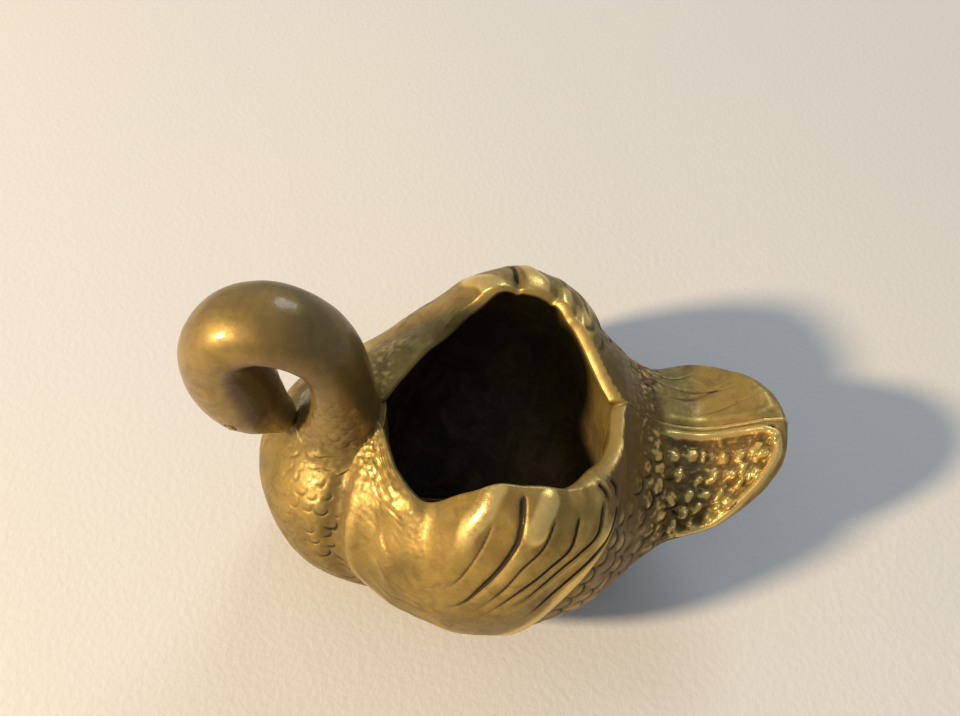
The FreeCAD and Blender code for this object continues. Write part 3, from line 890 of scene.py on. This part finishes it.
def makeNeck():
    shape, face = neckShape, faceShape
    points, normals, progress, flat, turned = neckGrid()
    ring = np.arange(shape["gridRows"])
    height = 0.10 * grain(points, 6.0, 31) + 0.04 * grain(points, 1.8, 32)
    carved = neckStrokes(points)
    rough = np.exp(-((points[..., 2] - shape["roughHeight"]) / shape["roughReach"]) ** 2)
    rough = rough * (ring[:, None] < 120)
    height += rough * (0.45 * grain(points, 1.3, 35) + 0.25 * grain(points, 0.7, 36))
    # eyes, nostrils and the slit of the bill, alike on both sides
    for side in (-1, 1):
        mirror = np.array([1, side, 1])
        away = np.linalg.norm(points - np.array(face["eye"]) * mirror, axis=-1)
        height += 0.20 * np.exp(-(away / face["eyeSize"]) ** 4)
        carved -= 0.26 * np.exp(-((away - face["eyeRing"]) / face["lineWidth"]) ** 2)
        for feature, depth, reach in (("mouth", 0.30, 2.5), ("nostril", 0.25, 2)):
            distance, _ = lineField(points, np.array(face[feature]) * mirror, reach)
            carved -= depth * np.exp(-(distance / face["lineWidth"]) ** 2)
    lastRing = shape["gridRows"] - 1
    ends = np.minimum(fade(0, 8, ring), fade(lastRing, lastRing - 7, ring))
    total = (height + carved) * ends[:, None]
    above = total - spread(total, 6)
    relief = np.maximum(above, 0) * 0.8 + carved * 1.1
    points = points + normals * total[..., None]
    # painted shade in brown inside the loop and on the rear limb, which face from the lamp, but not
    # on the lit front of the root; a little tarnishing everywhere
    frontOfRoot = fade(0.36, 0.24, progress) * fade(0.35, -0.35, turned)
    loop = 0.95 * flat * fade(0.05, -0.35, turned)
    tarnishAndShade = np.maximum(loop, 0.6 * fade(0.62, 0.44, progress))
    tarnishAndShade = np.maximum(tarnishAndShade * (1 - 0.85 * frontOfRoot), 0.15) * np.ones_like(total)
    points[..., 0] += neckLow.x / mm - shape["forward"]
    points[..., 2] += neckHigh.z / mm - shape["drawnTop"]
    faces = gridFaces(*points.shape[:2], closed=True)
    # painted shade on the inner side of the loop, carried by the inside mark
    shade = flat * fade(-0.05, -0.45, turned) * (1 - frontOfRoot) * np.ones_like(total)
    marks = {"relief": relief.ravel(), "inside": 0.3 * shade.ravel(), "tarnishAndShade": tarnishAndShade.ravel()}
    addPiece("neckAndHead", points.reshape(-1, 3), faces,
             "neck_and_head", neckBrass, marks)


makeNeck()

# the brazing round the foot of the neck, a hollow fillet that thins out on the body and up the neck

collarShape = {
    "rings": 180, "curve": 24, "back": 8,
    "onBody": (0.5, 3.0), "onNeck": (1.0, 3.4),  # how far it spreads, behind the neck and ahead
    "tuck": 0.3, "root": 1.6, "rootHeight": 31.5, "uneven": 0.16, "tarnishAndShade": 0.3,
}


def makeCollar():
    shape = collarShape
    neckRows = np.array(neckShape["rows"][:4])
    shift = neckLow.x / mm - neckShape["forward"] - breastAt[0]

    def neckAt(up):
        return [np.interp(up, neckRows[:, 1], neckRows[:, k]) for k in (0, 2, 3)]

    def bodyHeight(along, out):
        row = rowAt(along)
        half, middle, opening, top = [smoothTable(rowTable[:, k], row) for k in (1, 3, 4, 6)]
        share = np.clip((np.abs(out) - opening) / (half - opening), 0, 1)
        return middle + (top - middle) * np.sqrt(1 - share**2)

    angles = np.linspace(0, 2 * math.pi, shape["rings"], endpoint=False)
    outward = np.stack([np.cos(angles), np.sin(angles)], -1)
    up = np.full(shape["rings"], shape["rootHeight"])
    for _ in range(3):
        centre, deep, broad = neckAt(up)
        foot = np.stack([centre + shift + deep * outward[:, 0], broad * outward[:, 1]], -1)
        up = bodyHeight(foot[:, 0], foot[:, 1])
    ahead = (1 - outward[:, 0]) / 2
    uneven = 1 + shape["uneven"] * grain(np.stack([foot[:, 0], foot[:, 1], up], -1), 3.0, 43)
    spreadOut, climb = [(behind + (front - behind) * ahead) * uneven
                        for behind, front in (shape["onBody"], shape["onNeck"])]
    low = foot + outward * spreadOut[:, None]
    low = np.concatenate([low, (bodyHeight(low[:, 0], low[:, 1]) - shape["tuck"])[:, None]], -1)
    centre, deep, broad = neckAt(up + climb)
    high = np.stack([centre + shift + (deep - shape["tuck"]) * outward[:, 0],
                     (broad - shape["tuck"]) * outward[:, 1], up + climb], -1)
    joint = np.concatenate([foot, up[:, None]], -1)
    root = np.concatenate([foot - outward * shape["root"], (up - shape["root"])[:, None]], -1)
    s = np.linspace(0, 1, shape["curve"], endpoint=False)[None, :, None]
    curve = (1 - s) ** 2 * low[:, None] + 2 * s * (1 - s) * joint[:, None] + s**2 * high[:, None]
    t = np.linspace(0, 1, shape["back"], endpoint=False)[None, :, None]
    ring = np.concatenate([curve, high[:, None] * (1 - t) + root[:, None] * t,
                           root[:, None] * (1 - t) + low[:, None] * t], 1)
    lumps = 0.10 * grain(ring, 2.0, 41) + 0.08 * grain(ring, 0.8, 42)
    lumps *= (np.arange(ring.shape[1]) < shape["curve"])[None, :]
    ring[..., :2] += outward[:, None] * lumps[..., None]
    ring[..., 2] += 0.6 * lumps
    faces = gridFaces(*ring.shape[:2], closed=True, looped=True)
    marks = {"relief": (lumps * 0.5).ravel(), "inside": np.zeros(lumps.size),
             "tarnishAndShade": np.full(lumps.size, shape["tarnishAndShade"])}
    placed = ring.reshape(-1, 3) * scaleOf + breastAt
    addPiece("neckBraze", placed, faces, "neck_root_braze", brazeBrass, marks)


makeCollar()
print("swan built")

# cloth, camera and light

clothLook = {
    "warm": (0.72, 0.655, 0.52), "cool": (0.64, 0.63, 0.60), "patches": 9,
    "weave": 900, "weaveHeight": 0.0004, "size": 5, "drop": 0.0002,
}


def makeCloth():
    mesh = bpy.data.meshes.new("tableCloth")
    bm = bmesh.new()
    bmesh.ops.create_grid(bm, x_segments=60, y_segments=60, size=clothLook["size"])
    bm.to_mesh(mesh)
    bm.free()
    cloth = bpy.data.objects.new("tableCloth", mesh)
    cloth.location.z = -clothLook["drop"]
    bpy.context.scene.collection.objects.link(cloth)
    material = bpy.data.materials.new("paleCloth")
    material.use_nodes = True
    tree = material.node_tree
    shader = tree.nodes["Principled BSDF"]
    shader.inputs["Roughness"].default_value = 0.9
    place = tree.nodes.new("ShaderNodeTexCoord").outputs["Object"]
    mix = tree.nodes.new("ShaderNodeMix")
    mix.data_type = "RGBA"
    mix.inputs[6].default_value = (*clothLook["warm"], 1)
    mix.inputs[7].default_value = (*clothLook["cool"], 1)
    tree.links.new(noiseNode(tree, place, clothLook["patches"], 4), mix.inputs[0])
    tree.links.new(mix.outputs[2], shader.inputs["Base Color"])
    weave = noiseNode(tree, place, clothLook["weave"], 3)
    addBump(tree, shader, weave, 0.25, clothLook["weaveHeight"])
    mesh.materials.append(material)


makeCloth()

cameraSetup = {
    "target": (-0.0025, 0.0175, 0.020), "elevation": 56, "distance": 0.150, "lens": 33.75,
}


def makeCamera():
    data = bpy.data.cameras.new("camera")
    data.lens = cameraSetup["lens"]
    data.sensor_width = 36
    data.clip_start = 0.01
    camera = bpy.data.objects.new("camera", data)
    high = math.radians(cameraSetup["elevation"])
    target = Vector(cameraSetup["target"])
    camera.location = target + Vector((0, -math.cos(high), math.sin(high))) * cameraSetup["distance"]
    camera.rotation_euler = (target - camera.location).to_track_quat("-Z", "Y").to_euler()
    bpy.context.scene.collection.objects.link(camera)
    bpy.context.scene.camera = camera


lightSetup = {  # place, size, power and color, all aimed at the swan
    "lamp": ((-0.66, -0.25, 0.50), 0.09, 9.8, (1.0, 0.80, 0.56)),
    "window": ((0.30, 0.75, 0.75), 0.4, 3.2, (0.72, 0.83, 1.0)),
}
lightAim = (0, 0, 0.02)
roomLight = {"color": (0.70, 0.81, 1.0, 1), "strength": 0.42}


def makeLight(name, place, size, power, color):
    data = bpy.data.lights.new(name, "AREA")
    data.shape = "DISK"
    data.size = size
    data.energy = power
    data.color = color
    light = bpy.data.objects.new(name, data)
    light.location = place
    light.rotation_euler = (Vector(lightAim) - Vector(place)).to_track_quat("-Z", "Y").to_euler()
    bpy.context.scene.collection.objects.link(light)


makeCamera()
for lightName, setup in lightSetup.items():
    makeLight(lightName, *setup)
world = bpy.data.worlds.new("room")
world.use_nodes = True
background = world.node_tree.nodes["Background"]
background.inputs["Color"].default_value = roomLight["color"]
background.inputs["Strength"].default_value = roomLight["strength"]
bpy.context.scene.world = world
bpy.context.scene.view_settings.view_transform = "Standard"
print("stage ready")
